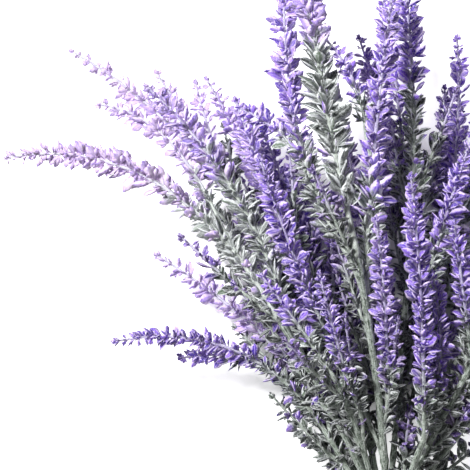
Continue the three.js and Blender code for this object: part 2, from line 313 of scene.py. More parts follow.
def barkMaterial(finish):
    recipe = Recipe("driedBark")
    colours = barkColours
    place = recipe.place()
    pale = recipe.attribute("pale")
    fibres = fibreNoise(recipe, finish)
    blotch = recipe.noise(place, finish["blotchScale"], roughness=0.6)
    specks = recipe.noise(place, finish["speckScale"], roughness=0.7)
    tone = recipe.fade(fibres + (blotch - 0.5) * finish["blotchShare"], *finish["tone"])
    green = recipe.mix(tone, colours["deep"], colours["mid"])
    violet = recipe.mix(tone, colours["lilacDeep"], colours["lilac"])
    colour = recipe.mix(recipe.attribute("lilac"), green, violet)
    bloom = recipe.fade(specks + (fibres - 0.5) * finish["bloomAlongFibres"], *finish["bloom"])
    bloomShare = finish["bloomShare"] + finish["bloomMoreWhenPale"] * pale
    colour = recipe.mix(bloom * bloomShare, colour, colours["bloom"])
    colour = recipe.mix(pale * finish["paleShare"], colour, colours["bloom"])
    colour = recipe.mix(recipe.attribute("cut"), colour, colours["pith"])
    height = fibres * (1 - finish["fineBump"]) + specks * finish["fineBump"]
    return recipe.finish(colour, finish["constants"], height, finish["bumpDepth"])


# Jute: a brown twist of fibres, worn lighter in places.
juteColours = {
    "deep": linear(120, 88, 50),
    "mid": linear(176, 140, 92),
    "light": linear(214, 186, 138),
}

juteFinish = {
    "constants": {"Roughness": 0.9, "Specular IOR Level": 0.2},
    "bumpDepth": 0.2 * millimetre,
    "fibreScale": 3.0,
    "fibreSpread": (6.0, 0.35),
    "wearScale": 240.0,
    "tone": (0.3, 0.7),
    "worn": (0.9, 1.3),
}


def juteMaterial(finish):
    recipe = Recipe("juteTwine")
    colours = juteColours
    fibres = fibreNoise(recipe, finish)
    wear = recipe.noise(recipe.place(), finish["wearScale"])
    colour = recipe.mix(recipe.fade(fibres, *finish["tone"]), colours["deep"], colours["mid"])
    colour = recipe.mix(recipe.fade(wear + fibres, *finish["worn"]), colour, colours["light"])
    return recipe.finish(colour, finish["constants"], fibres, finish["bumpDepth"])


foliage = foliageMaterial(foliageFinish)
bark = barkMaterial(barkFinish)
jute = juteMaterial(juteFinish)
print("materials made")


# Shoots: the CAD solids give each stem and spike its middle line and its fullness.
readSettings = {
    "weld": 1e-6,  # corners closer than this are one
    "level": 1e-5,  # the middle of a flat end has its neighbours this evenly round it
}


def ringsOf(node, settings):
    bm = bmesh.new()
    bm.from_mesh(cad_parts[node].data)
    bmesh.ops.remove_doubles(bm, verts=bm.verts, dist=settings["weld"])

    def lean(vert):
        near = [edge.other_vert(vert).co - vert.co for edge in vert.link_edges]
        return sum(near, Vector()).length / len(near)

    ends = sorted((v for v in bm.verts if lean(v) < settings["level"]), key=lambda v: v.co.y)
    seen = {ends[0]}
    ring = [ends[0]]
    places, radii = [], []
    while ring:
        middle = sum((v.co for v in ring), Vector()) / len(ring)
        places.append(middle)
        radii.append(sum((v.co - middle).length for v in ring) / len(ring))
        ring = list({e.other_vert(v) for v in ring for e in v.link_edges} - seen)
        seen.update(ring)
    bm.free()
    return places, radii


# A smooth line through places, with a radius at each of them.
class Path:
    fineSteps = 5

    def __init__(self, places, radii=None):
        self.places = []
        self.radii = []
        radii = radii or [0.0] * len(places)
        last = len(places) - 1
        for k in range(last):
            before = places[max(k - 1, 0)]
            after = places[min(k + 2, last)]
            for step in range(self.fineSteps):
                t = step / self.fineSteps
                self.places.append(self.between(before, places[k], places[k + 1], after, t))
                self.radii.append(radii[k] + (radii[k + 1] - radii[k]) * t)
        self.places.append(places[-1])
        self.radii.append(radii[-1])
        self.marks = [0.0]
        for one, two in zip(self.places, self.places[1:]):
            self.marks.append(self.marks[-1] + (two - one).length)
        self.length = self.marks[-1]

    @staticmethod
    def between(a, b, c, d, t):
        return 0.5 * ((2 * b) + (c - a) * t + (2 * a - 5 * b + 4 * c - d) * t ** 2
                      + (3 * b - a - 3 * c + d) * t ** 3)

    def find(self, distance):
        distance = min(max(distance, 0.0), self.length)
        k = min(max(bisect.bisect_right(self.marks, distance) - 1, 0), len(self.marks) - 2)
        gap = self.marks[k + 1] - self.marks[k]
        return k, (distance - self.marks[k]) / gap if gap else 0.0

    def at(self, distance):
        k, t = self.find(distance)
        return self.places[k].lerp(self.places[k + 1], t)

    def radiusAt(self, distance):
        k, t = self.find(distance)
        return self.radii[k] + (self.radii[k + 1] - self.radii[k]) * t

    def headingAt(self, distance):
        reach = 3 * millimetre
        ahead = self.at(min(distance + reach, self.length)) - self.at(max(distance - reach, 0.0))
        return ahead.normalized()

    def frameAt(self, distance):  # sideways, over and ahead, with over always turned up
        ahead = self.headingAt(distance)
        sideways = ahead.cross(Vector((0, 0, 1))).normalized()
        over = sideways.cross(ahead)
        return sideways, over, ahead

    def nearest(self, point):
        k = min(range(len(self.places)), key=lambda i: (self.places[i] - point).length)
        return self.marks[k]


# The middle of a ring at the base of a solid is given twice, by its flat end and by its first ring.
def pathOf(node):
    places, radii = ringsOf(node, readSettings)
    isStem = node.startswith("stem")
    last = len(places) - 1 if isStem else len(places)
    return Path(places[1:last], radii[1:last])


stems = {name[5:]: pathOf(name) for name in sorted(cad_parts) if name.startswith("stem_")}
spikes = {name[6:]: pathOf(name) for name in sorted(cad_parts) if name.startswith("spike_")}
print("shoots read:", len(stems), "stems,", len(spikes), "spikes")


# Tubes: a ring is extruded from station to station along a path.
def growTube(bm, path, stations, radiusAt, sides):
    def stand(distance):
        sideways, over, ahead = path.frameAt(distance)
        turned = Matrix((sideways, over, ahead)).transposed().to_4x4()
        return Matrix.Translation(path.at(distance)) @ turned @ Matrix.Scale(radiusAt(distance), 4)

    layer = bm.verts.layers.float
    alongLayer = layer["along"]
    roundLayer = layer["around"]
    here = stand(stations[0])
    ring = bmesh.ops.create_circle(bm, cap_ends=True, segments=sides, radius=1.0, matrix=here)["verts"]
    for k, vert in enumerate(ring):
        vert[roundLayer] = abs(2 * k / sides - 1)
        vert[alongLayer] = stations[0] / millimetre
    edges = list({e for v in ring for e in v.link_edges})
    for distance in stations[1:]:
        there = stand(distance)
        grown = bmesh.ops.extrude_edge_only(bm, edges=edges)["geom"]
        ring = [g for g in grown if isinstance(g, bmesh.types.BMVert)]
        edges = [g for g in grown if isinstance(g, bmesh.types.BMEdge)]
        bmesh.ops.transform(bm, matrix=there @ here.inverted(), verts=ring)
        for vert in ring:
            vert[alongLayer] = distance / millimetre
        here = there
    bmesh.ops.contextual_create(bm, geom=edges)


def stationsFor(length, step, least=2):
    count = max(least, round(length / step))
    return [length * k / count for k in range(count + 1)]


def clamped(value, low=0.0, high=1.0):
    return min(max(value, low), high)


def blended(first, second, share):
    return first + (second - first) * share


def strayed(draw, most):
    return draw.uniform(-most, most)


pointLayers = ("along", "around", "across", "purple", "pale", "paintedShade", "tint", "lilac", "cut")


def freshMesh():
    bm = bmesh.new()
    for name in pointLayers:
        bm.verts.layers.float.new(name)
    return bm


# Pieces: points that would reach the floor are pressed to just above it.
floorSettings = {
    "clearance": 0.3 * millimetre,
    "give": 0.02,  # the share of its depth below that which a point keeps
}


def keepOffFloor(bm, settings):
    clearance = settings["clearance"]
    for vert in bm.verts:
        if vert.co.z < clearance:
            vert.co.z = clearance + settings["give"] * (vert.co.z - clearance)


def addPiece(name, bm, material, replaced=()):
    bmesh.ops.recalc_face_normals(bm, faces=bm.faces)
    mesh = bpy.data.meshes.new(name)
    bm.to_mesh(mesh)
    bm.free()
    mesh.materials.append(material)
    for face in mesh.polygons:
        face.use_smooth = True
    piece = bpy.data.objects.new(name, mesh)
    bpy.context.scene.collection.objects.link(piece)
    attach(piece, "root")
    if replaced:
        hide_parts(*replaced)


# Stems: round and slightly knobbly, of one thickness where they are tied, and narrower at the very top.
stemSettings = {
    "foot": 1.72 * millimetre,  # the radius up to and just past the tie
    "top": 1.9 * millimetre,
    "stoutness": {"09": 1.1, "13": 1.25},  # how much thicker some are above the tie
    "boundTo": 15 * millimetre,  # how far past the tie a stem keeps its foot's thickness
    "freeFrom": 50 * millimetre,
    "joinLength": 10 * millimetre,
    "joinShare": 0.72,
    "step": 2 * millimetre,
    "sides": 10,
    "knobble": 0.09,
    "knobbleSize": 9 * millimetre,
    "knobbleShift": 7.3,  # how far one stem's knobbles are from the next one's, in their own sizes
    "jointGap": 31 * millimetre,  # between the slight swellings where leaf pairs once grew
    "jointShift": 8 * millimetre,
    "jointSwell": 0.2,
    "jointWidth": 2.2 * millimetre,
    "rimWidth": 0.18 * millimetre,  # of the bark round the pith of the cut end
}


def makeStem(number, settings):
    path = stems[number]
    bm = freshMesh()
    tied = path.nearest(tie)
    top = settings["top"] * settings["stoutness"].get(number, 1)

    def radiusAt(distance):
        free = (distance - tied - settings["boundTo"]) / (settings["freeFrom"] - settings["boundTo"])
        belowTop = clamped((path.length - distance) / settings["joinLength"])
        thickness = blended(settings["foot"], top, clamped(free))
        thickness *= blended(settings["joinShare"], 1, belowTop)
        sinceJoint = (distance + int(number) * settings["jointShift"]) % settings["jointGap"]
        fromJoint = (sinceJoint - settings["jointGap"] / 2) / settings["jointWidth"]
        swell = settings["jointSwell"] * math.exp(-fromJoint ** 2)
        knobblePlace = Vector((distance / settings["knobbleSize"], int(number) * settings["knobbleShift"], 0))
        return thickness * (1 + settings["knobble"] * noise.noise(knobblePlace) + swell)

    growTube(bm, path, stationsFor(path.length, settings["step"]), radiusAt, settings["sides"])
    cutLayer = bm.verts.layers.float["cut"]
    ends = [face for face in bm.faces if len(face.verts) == settings["sides"]]
    cutEnd = min(ends, key=lambda face: face.calc_center_median().y)
    bmesh.ops.inset_individual(bm, faces=[cutEnd], thickness=settings["rimWidth"])
    for vert in cutEnd.verts:
        vert[cutLayer] = 1.0
    keepOffFloor(bm, floorSettings)
    addPiece("stem_" + number + "_bark", bm, bark, ["stem_" + number])


for number in stems:
    makeStem(number, stemSettings)
print("stems made")


# Lobes: each is a closed, keeled form with a narrow foot, a belly and a point. A leaf lies along +Z, with its
# outside to +Y, and is one lobe or a tuft of them. Sizes are shares of its length, and leans are radians.
lobeSettings = {
    "sides": 4,
    "rings": 6,
    "width": 0.2,  # half of it, as a share of the lobe's own length
    "thickness": 0.1,
    "belly": 1.4,  # above 1 it moves towards the point
    "foot": 0.1,
    "fold": 0.3,
    "curl": 0.1,
    "twist": 0.2,
    "size": 1.0,
    "start": 0.0,
    "lean": 0.0,
    "tilt": 0.0,
    "tint": 0.0,
    "pole": 0.001,  # this near its ends a lobe is a point
}


def addLobe(bm, settings):
    sides, rings = settings["sides"], settings["rings"]
    fresh = bmesh.ops.create_uvsphere(bm, u_segments=sides, v_segments=rings, radius=1.0)["verts"]
    layers = bm.verts.layers.float
    for vert in fresh:
        along = clamped((vert.co.z + 1) / 2)
        angle = math.atan2(vert.co.y, vert.co.x)
        foot = settings["foot"] * (1 - along)
        girth = foot + (1 - settings["foot"]) * math.sin(math.pi * along ** settings["belly"])
        girth *= settings["pole"] < along < 1 - settings["pole"]
        side = math.cos(angle) * girth * settings["width"]
        rise = math.sin(angle) * girth * settings["thickness"]
        rise -= settings["fold"] * abs(side) + settings["curl"] * along ** 2
        vert[layers["across"]] = math.cos(angle) if girth else 0.0
        vert[layers["along"]] = along
        vert[layers["tint"]] = settings["tint"]
        vert.co = Matrix.Rotation(settings["twist"] * along, 3, "Z") @ Vector((side, rise, along))
    leaned = Matrix.Rotation(settings["lean"], 4, "Y") @ Matrix.Rotation(-settings["tilt"], 4, "X")
    placed = Matrix.Translation((0, 0, settings["start"])) @ leaned @ Matrix.Scale(settings["size"], 4)
    bmesh.ops.transform(bm, matrix=placed, verts=fresh)


def shapeLeaf(lobes):
    bm = freshMesh()
    for lobe in lobes:
        addLobe(bm, {**lobeSettings, **lobe})
    mesh = bpy.data.meshes.new("leafShape")
    bm.to_mesh(mesh)
    bm.free()
    return mesh


def sideLobe(size, start, lean, width=0.31, tilt=0.0, tint=0.2, **more):
    placed = {"size": size, "start": start, "lean": lean, "tilt": tilt}
    return {**placed, "width": width, "tint": tint, "rings": 5, **more}


strip = {"thickness": 0.035, "fold": 0.7, "belly": 1.1, "foot": 0.14}
blade = {**strip, "thickness": 0.05, "sides": 6, "rings": 7}
hair = {"thickness": 0.025, "belly": 1.0, "foot": 0.7, "fold": 0.0}

leafForms = {
    "floret": [
        [{"width": 0.3, "curl": 0.1},
         sideLobe(0.62, 0.12, 0.62), sideLobe(0.5, 0.2, -0.66, tilt=0.3)],
        [{"width": 0.34, "curl": -0.12, "twist": -0.3, "fold": 0.45},
         sideLobe(0.62, 0.1, -0.55, tilt=0.2), sideLobe(0.46, 0.3, 0.7, tilt=0.5)],
        [{"width": 0.27, "curl": 0.25, "twist": 0.5},
         sideLobe(0.6, 0.08, 0.75), sideLobe(0.6, 0.15, -0.6)],
        [{"width": 0.31, "curl": -0.22, "belly": 1.65},
         sideLobe(0.5, 0.28, 0.55, tint=-0.2, tilt=0.5)],
        [{"width": 0.33, "curl": 0.16, "rings": 7, "twist": -0.4}],
    ],
    "leaf": [
        [{**strip, "width": 0.17},
         sideLobe(0.7, 0.04, 0.5, 0.15, curl=-0.2, **strip)],
        [{**strip, "width": 0.21, "curl": -0.15},
         sideLobe(0.62, 0.1, -0.55, 0.17, tilt=0.4, **strip)],
        [{**strip, "width": 0.13, "curl": 0.3},
         sideLobe(0.75, 0.0, 0.45, 0.12, tilt=0.3, **strip), sideLobe(0.6, 0.06, -0.6, 0.16, **strip)],
        [{**strip, "width": 0.24, "curl": 0.22, "rings": 7, "twist": 0.7}],
    ],
    "broad": [
        [{**blade, "width": 0.33, "belly": 1.2, "fold": 0.4}],
        [{**blade, "width": 0.3, "belly": 1.35, "curl": 0.22, "twist": -0.3}],
    ],
    "thread": [
        [{**hair, "width": 0.03, "curl": 0.45}],
        [{**hair, "width": 0.034, "curl": -0.4}],
    ],
}

leafShapes = {kind: [shapeLeaf(lobes) for lobes in forms] for kind, forms in leafForms.items()}


def addLeaf(bm, shape, root, direction, outside, length, marks):
    before = len(bm.verts)
    bm.from_mesh(shape)
    bm.verts.ensure_lookup_table()
    fresh = bm.verts[before:]
    outside = (outside - direction * outside.dot(direction)).normalized()
    sideways = outside.cross(direction)
    turned = Matrix((sideways, outside, direction)).transposed().to_4x4()
    stand = Matrix.Translation(root) @ turned @ Matrix.Scale(length, 4)
    layers = bm.verts.layers.float
    given = [(layers[name], marks[name]) for name in ("purple", "pale", "paintedShade")]
    tint = layers["tint"]
    for vert in fresh:
        vert.co = stand @ vert.co
        vert[tint] += marks["tint"]
        for layer, value in given:
            vert[layer] = value


# Whorls: rings of leaves up a stalk, grey-green and long below, purple and plump above. Pairs are the least
# and the most of a random draw, and strays are the most that something is off to either side.
leafSettings = {
    "whorlGap": 5.2 * millimetre,
    "tipGap": 3.6 * millimetre,
    "gapShares": (0.85, 1.15),
    "firstWhorl": 1.5 * millimetre,
    "lastWhorl": 2 * millimetre,  # from the tip
    "leavesPerWhorl": 6,
    "fewerFrom": (0.7, 0.9),  # the shares of the foliage from which a whorl has one leaf fewer, and two
    "turnStray": 0.2,
    "floretReach": 1.04,  # length, as a share of how far out it reaches
    "leafReach": 1.22,
    "shortest": 4.6 * millimetre,
    "longest": 15 * millimetre,
    "lengthShares": (0.72, 1.2),
    "leastRoom": 6.5 * millimetre,  # how far leaves reach out even where shoots crowd
    "leastRoomLost": 0.55,  # at the tip
    "stretch": 2.4 * millimetre,  # how far they reach past the CAD solid's own radius
    "stretchLost": 0.6,
    "purpleFrom": 0.3,
    "purpleFade": 0.26,  # the share of its foliage over which grey-green turns purple
    "sprinkle": 0.08,  # how many florets there are among the leaves below that
    "floretPurple": 0.7,  # how purple those are at least
    "tapersFrom": 0.62,
    "broadShare": 0.12,
    "slants": (0.3, 0.84),  # the sines of the least and the most slant away from the stalk
    "slantChange": (-0.25, 0.2),
    "aroundStray": 0.3,
    "rollStray": 1.3,
    "unruly": 0.16,  # how far leaves stray from the way they should point
    "rootDepth": 0.6,  # where on the stalk they start, from its middle out, as a share of its radius
    "rootStray": 1.2,  # millimetres along the stalk
    "openStray": 0.5,  # the open side is the upper one, where the stalk shows
    "openFacing": 0.8,
    "openSide": 0.22,  # how often a leaf is missing there
    "openLength": 0.75,
    "threads": 3,
    "threadsUpTo": 0.9,  # how purple a whorl is that has none
    "threadPale": 0.7,
    "threadLeans": (0.4, 1.3),
    "threadShares": (0.7, 1.1),
    "tipBuds": 3,
    "budTurn": 2.1,
    "budLean": 0.3,
    "budDepth": 2.5 * millimetre,
    "purpleStray": 0.3,
    "pale": 0.0,
    "paleChange": (-0.12, 0.2),
    # painted shade: how far leaves are darkened towards near-black, and how much that differs from leaf to
    # leaf
    "paintedShade": 0.0,
    "paintedShadeShares": (0.5, 1.4),
    "earlier": 0.0,  # how far below the fullness of the CAD solid leaves start
}


def leafMarks(purple, settings, draw):
    return {
        "purple": clamped(purple + strayed(draw, settings["purpleStray"])),
        "pale": clamped(settings["pale"] + draw.uniform(*settings["paleChange"])),
        "paintedShade": clamped(settings["paintedShade"] * draw.uniform(*settings["paintedShadeShares"])),
        "tint": draw.random(),
    }


def outwards(around, sideways, over):
    return math.cos(around) * sideways + math.sin(around) * over


def addWhorlLeaf(bm, whorl, around, settings, draw):
    sideways, over, ahead = whorl["frame"]
    onOpenSide = math.cos(around - whorl["openTurn"]) > settings["openFacing"]
    if onOpenSide and draw.random() < settings["openSide"]:
        return
    out = outwards(around, sideways, over)
    length = whorl["length"] * draw.uniform(*settings["lengthShares"])
    length *= settings["openLength"] if onOpenSide else 1
    slant = math.asin(clamped(whorl["room"] / length, *settings["slants"]))
    slant += draw.uniform(*settings["slantChange"])
    unruly = settings["unruly"] * Vector((draw.gauss(0, 1), draw.gauss(0, 1), draw.gauss(0, 1)))
    direction = (math.cos(slant) * ahead + math.sin(slant) * out + unruly).normalized()
    outside = math.cos(slant) * out - math.sin(slant) * ahead
    outside = Matrix.Rotation(strayed(draw, settings["rollStray"]), 3, direction) @ outside
    purple = whorl["purple"]
    kind = "floret" if draw.random() < purple else "leaf"
    if kind == "floret":
        purple = max(purple, settings["floretPurple"])
    elif draw.random() < settings["broadShare"]:
        kind = "broad"
    root = whorl["place"] + out * whorl["core"] * settings["rootDepth"]
    root += ahead * strayed(draw, settings["rootStray"]) * millimetre
    shape = draw.choice(leafShapes[kind])
    addLeaf(bm, shape, root, direction, outside, length, leafMarks(purple, settings, draw))


def addThread(bm, whorl, settings, draw):
    sideways, over, ahead = whorl["frame"]
    out = outwards(draw.uniform(0, 2 * math.pi), sideways, over)
    direction = (ahead + out * draw.uniform(*settings["threadLeans"])).normalized()
    marks = {"purple": 0.0, "pale": settings["threadPale"], "paintedShade": 0.0, "tint": draw.random()}
    shape = draw.choice(leafShapes["thread"])
    length = whorl["length"] * draw.uniform(*settings["threadShares"])
    addLeaf(bm, shape, whorl["place"], direction, out, length, marks)


def addWhorls(bm, path, lower, stalkRadius, settings, draw):
    distance = lower + settings["firstWhorl"]
    turn = draw.uniform(0, math.pi)
    openTurn = math.pi / 2 + strayed(draw, settings["openStray"])
    while distance < path.length - settings["lastWhorl"]:
        share = (distance - lower) / (path.length - lower)
        nearTip = clamped((share - settings["tapersFrom"]) / (1 - settings["tapersFrom"]))
        purple = clamped((share - settings["purpleFrom"]) / settings["purpleFade"] + 0.5)
        purple = max(purple, settings["sprinkle"])
        core = stalkRadius(distance)
        leastRoom = settings["leastRoom"] * (1 - settings["leastRoomLost"] * nearTip)
        stretch = settings["stretch"] * (1 - settings["stretchLost"] * nearTip)
        room = max(path.radiusAt(distance), leastRoom) + (stretch - core)
        reach = blended(settings["leafReach"], settings["floretReach"], purple)
        whorl = {
            "place": path.at(distance),
            "frame": path.frameAt(distance),
            "core": core,
            "room": room,
            "length": clamped(room * reach, settings["shortest"], settings["longest"]),
            "purple": purple,
            "openTurn": openTurn,
        }
        count = settings["leavesPerWhorl"] - sum(share > mark for mark in settings["fewerFrom"])
        turn += math.pi / count + strayed(draw, settings["turnStray"])
        for k in range(count):
            around = turn + 2 * math.pi * k / count + strayed(draw, settings["aroundStray"])
            addWhorlLeaf(bm, whorl, around, settings, draw)
        for k in range(settings["threads"] if purple < settings["threadsUpTo"] else 0):
            addThread(bm, whorl, settings, draw)
        gap = blended(settings["whorlGap"], settings["tipGap"], nearTip)
        distance += gap * draw.uniform(*settings["gapShares"])


def addTipBuds(bm, path, settings, draw):
    sideways, over, ahead = path.frameAt(path.length)
    root = path.at(path.length - settings["budDepth"])
    for k in range(settings["tipBuds"]):
        out = outwards(k * settings["budTurn"], sideways, over)
        direction = (ahead + settings["budLean"] * out).normalized()
        marks = leafMarks(float(settings["purpleFrom"] < 1), settings, draw)
        addLeaf(bm, leafShapes["floret"][k], root, direction, out, settings["shortest"], marks)


# Spikes: the flowering shoots, each on a flocked stalk that grows out of its parent.
spikeSettings = {
    "stalkFoot": 1.45 * millimetre,
    "stalkTip": 0.65 * millimetre,
    "stalkTaper": 0.8,  # below 1 a stalk thins sooner
    "stalkStep": 3 * millimetre,
    "stalkSides": 8,
    "pathStep": 8 * millimetre,
    "bareRadius": 2.0 * millimetre,  # a solid slimmer than this at its foot is bare stalk
    "overlap": 2,  # how many of its own foot radii a stalk starts inside the end it carries on from
    "collar": 26 * millimetre,  # how far back along its parent a side stalk starts
    "collarSlant": 0.35,
    "lilacBefore": 0.1,  # how much sooner than its foliage a stalk turns lilac
    "lilacFade": 0.25,
    "paleShare": 0.6,
    "leastPale": 0.15,
}

# What sets a spike apart: where along its foliage purple starts, how pale it has dried, how much painted
# shade darkens it and how full it is.
farBack = {
    "pale": 0.68,
    "leavesPerWhorl": 5,
    "whorlGap": 6 * millimetre,
    "leastRoom": 5 * millimetre,
    "threads": 0,
    "stretch": 3.2 * millimetre,
}
# spikes deep in the bunch carry painted shade
inShade = {"paintedShade": 0.52, "stretch": 4 * millimetre}
inFront = {"longest": 16 * millimetre, "stretch": 5 * millimetre}
spikePurple = {
    "01a": 0.05, "01b": 0.1, "01c": 0.1, "02a": 0.15, "02b": 0.15, "02c": 0.1, "03a": 0.15, "03b": 0.2,
    "04a": 0.05, "04b": 0.2, "05a": 0.25, "05b": 0.15, "05c": 0.05, "06a": 0.4, "06c": 0.2, "06d": 0.5,
    "08a": 0.35, "08b": 0.15, "08c": 1.2, "09a": 0.42, "09b": 0.58, "09c": 0.2, "12a": 0.14, "13a": 0.62,
    "13b": 0.36, "13c": 0.15, "13f": 0.2, "13g": 0.42, "14a": 0.5, "14b": 0.4,
}
spikeLooks = {
    "01a": farBack,
    "01b": farBack,
    "01c": {**farBack, "pale": 0.45},
    "02a": inShade,
    "02b": inShade,
    "02c": inShade,
    "03a": inShade,
    "03b": {"stretch": 4 * millimetre},
    "04a": {**farBack, "pale": 0.5},
    "05a": {"pale": 0.4},
    "05b": {"pale": 0.2, "stretch": 4 * millimetre},
    # 05c carries some painted shade
    "05c": {"paintedShade": 0.25, "stretch": 5 * millimetre},
    "06c": inShade,
    "09a": {"pale": 0.74, "stretch": 4 * millimetre, "broadShare": 0.35, "stalkFoot": 1.9 * millimetre},
    "09b": {**inFront, "pale": 0.3, "stretch": 4.5 * millimetre, "broadShare": 0.35,
            "stalkFoot": 1.9 * millimetre},
    "09c": {"pale": 0.6},
    "12a": {"stretch": 3.4 * millimetre},
    "13a": {"pale": 0.35, "stretch": 7 * millimetre, "longest": 17 * millimetre, "broadShare": 0.45,
            "earlier": 32 * millimetre, "stalkFoot": 2.2 * millimetre},
    "13b": {**inFront, "pale": 0.15, "stalkFoot": 1.8 * millimetre},
    "13c": {"stretch": 3.4 * millimetre},
    "13d": {**inFront, "pale": 0.1, "broadShare": 0.35, "earlier": 24 * millimetre,
            "stalkFoot": 2.2 * millimetre},
    "13f": {"pale": 0.15},
    "13g": {"stretch": 3.4 * millimetre},
}


# A side stalk starts inside its parent, some way below where its solid does, and leaves it at a slant.
def stalkPath(path, family, settings):
    start = path.at(0)
    parent = min(family, key=lambda p: (p.at(p.nearest(start)) - start).length)
    reached = parent.nearest(start)
    gap = start - parent.at(reached)
    if gap.length < settings["bareRadius"]:  # it carries on from its parent's own line
        lead = [parent.at(reached - settings["overlap"] * settings["stalkFoot"])]
    else:
        beside = parent.at(reached - settings["collar"] / 2) + settings["collarSlant"] * gap
        lead = [parent.at(reached - settings["collar"]), beside]
    return Path(lead + [path.at(distance) for distance in stationsFor(path.length, settings["pathStep"], 4)])


def foliageStart(path, settings):
    for distance, radius in zip(path.marks, path.radii):
        if radius > settings["bareRadius"]:
            return max(distance - settings["earlier"], 0.0)
    return 0.0


def growShoot(stalks, leaves, path, family, settings, draw):
    lower = foliageStart(path, settings)
    stalk = stalkPath(path, family, settings)
    lead = stalk.length - path.length

    def stalkRadius(distance):
        share = clamped(distance / stalk.length) ** settings["stalkTaper"]
        return blended(settings["stalkFoot"], settings["stalkTip"], share)

    before = len(stalks.verts)
    stations = stationsFor(stalk.length, settings["stalkStep"])
    growTube(stalks, stalk, stations, stalkRadius, settings["stalkSides"])
    stalks.verts.ensure_lookup_table()
    layers = stalks.verts.layers.float
    for vert in stalks.verts[before:]:
        share = (vert[layers["along"]] * millimetre - lead - lower) / (path.length - lower)
        lilac = (share - settings["purpleFrom"] + settings["lilacBefore"]) / settings["lilacFade"]
        vert[layers["lilac"]] = clamped(lilac)
        vert[layers["pale"]] = settings["pale"] * settings["paleShare"] + settings["leastPale"]
    addWhorls(leaves, path, lower, lambda distance: stalkRadius(distance + lead), settings, draw)
    addTipBuds(leaves, path, settings, draw)


def makeSpike(name, settings):
    sprig = name[:2]
    family = [stems[sprig]] + [spikes[other] for other in spikes if other[:2] == sprig and other < name]
    stalks, leaves = freshMesh(), freshMesh()
    growShoot(stalks, leaves, spikes[name], family, settings, random.Random("shoot" + name))
    for bm in (stalks, leaves):
        keepOffFloor(bm, floorSettings)
    addPiece("spike_" + name + "_stalk", stalks, bark)
    addPiece("spike_" + name + "_foliage", leaves, foliage, ["spike_" + name])


for name in spikes:
    purpleFrom = spikePurple.get(name, leafSettings["purpleFrom"])
    looks = {"purpleFrom": purpleFrom, **spikeLooks.get(name, {})}
    makeSpike(name, {**leafSettings, **spikeSettings, **looks})
print("spikes made")


# Growth on the stems themselves: loose leaves, and short leafy side shoots that fill the bunch out behind the
# spikes. The stems that lie on top have hardly any loose leaves, and their shoots lean down out of the way.
stemLeafSettings = {
    "leavesFrom": 72 * millimetre,  # where they start, above the tie
    "leavesFromShares": (0.85, 1.15),
    "core": 1.5 * millimetre,  # the radius that they stand round
    "whorlGap": 8 * millimetre,
    "leavesPerWhorl": 4,
    "leastRoom": 7 * millimetre,
    "shortest": 7 * millimetre,
    "longest": 13 * millimetre,
    "purpleFrom": 1.3,
    "tapersFrom": 0.99,
    "broadShare": 0.6,
    "unruly": 0.3,
    "threads": 1,
    # leaves on the stems carry painted shade
    "paintedShade": 0.5,
}

sideShootSettings = {
    "shootsFrom": 58 * millimetre,
    "shootsFromShares": (0.9, 1.3),
    "shootGap": 21 * millimetre,
    "shootGapShares": (0.8, 1.2),
    "shootLength": 56 * millimetre,
    "shootLengthShares": (0.75, 1.15),
    "shootSteps": 7,
    "spread": 0.42,  # how far sideways they lean, against ahead
    "spreadShares": (0.6, 1.2),
    "sink": 0.14,  # and how far down
    "sinkShares": (-0.2, 2.5),
    "upturn": 0.3,  # how much they bend back to the stem's own way
    "leastHeight": 3.5 * millimetre,
    "fullRadius": 7.5 * millimetre,
    "footFullness": (0.3, 2.5),  # the share of it at the foot, and how fast that grows
    "tipFullness": (0.25, 2.6),
    "shortest": 5.5 * millimetre,
    "longest": 12.5 * millimetre,
    "leavesPerWhorl": 4,
    "whorlGap": 5.6 * millimetre,
    "purpleFrom": 0.62,
    "broadShare": 0.5,
    "unruly": 0.34,
    "threads": 1,
    # side shoots behind the spikes carry painted shade
    "paintedShade": 0.55,
}

onTop = {"leavesFrom": 300 * millimetre, "sink": 0.5}
atEdge = {"leavesFrom": 50 * millimetre, "shootsFrom": 40 * millimetre, "purpleFrom": 1.3}
farEdge = {"leavesFrom": 44 * millimetre, "shootsFrom": 27 * millimetre}
stemLooks = {
    "01": atEdge, "02": atEdge, "03": atEdge, "04": atEdge, "08": atEdge, "09": onTop,
    "10": farEdge, "11": farEdge, "12": onTop, "13": onTop,
}


def sideShootPath(stem, distance, side, settings, draw):
    sideways, over, ahead = stem.frameAt(distance)
    start = stem.at(distance)
    aside = side * settings["spread"] * draw.uniform(*settings["spreadShares"])
    down = settings["sink"] * draw.uniform(*settings["sinkShares"])
    away = (ahead + aside * sideways - down * over).normalized()
    length = settings["shootLength"] * draw.uniform(*settings["shootLengthShares"])
    footShare, footGrowth = settings["footFullness"]
    tipShare, tipGrowth = settings["tipFullness"]
    places, radii = [], []
    for k in range(settings["shootSteps"] + 1):
        t = k / settings["shootSteps"]
        place = start + away * length * t + ahead * length * settings["upturn"] * t * t
        place.z = max(place.z, settings["leastHeight"])
        places.append(place)
        fullness = min(1, footShare + footGrowth * t, tipShare + tipGrowth * (1 - t))
        radii.append(settings["fullRadius"] * fullness)
    return Path(places, radii)


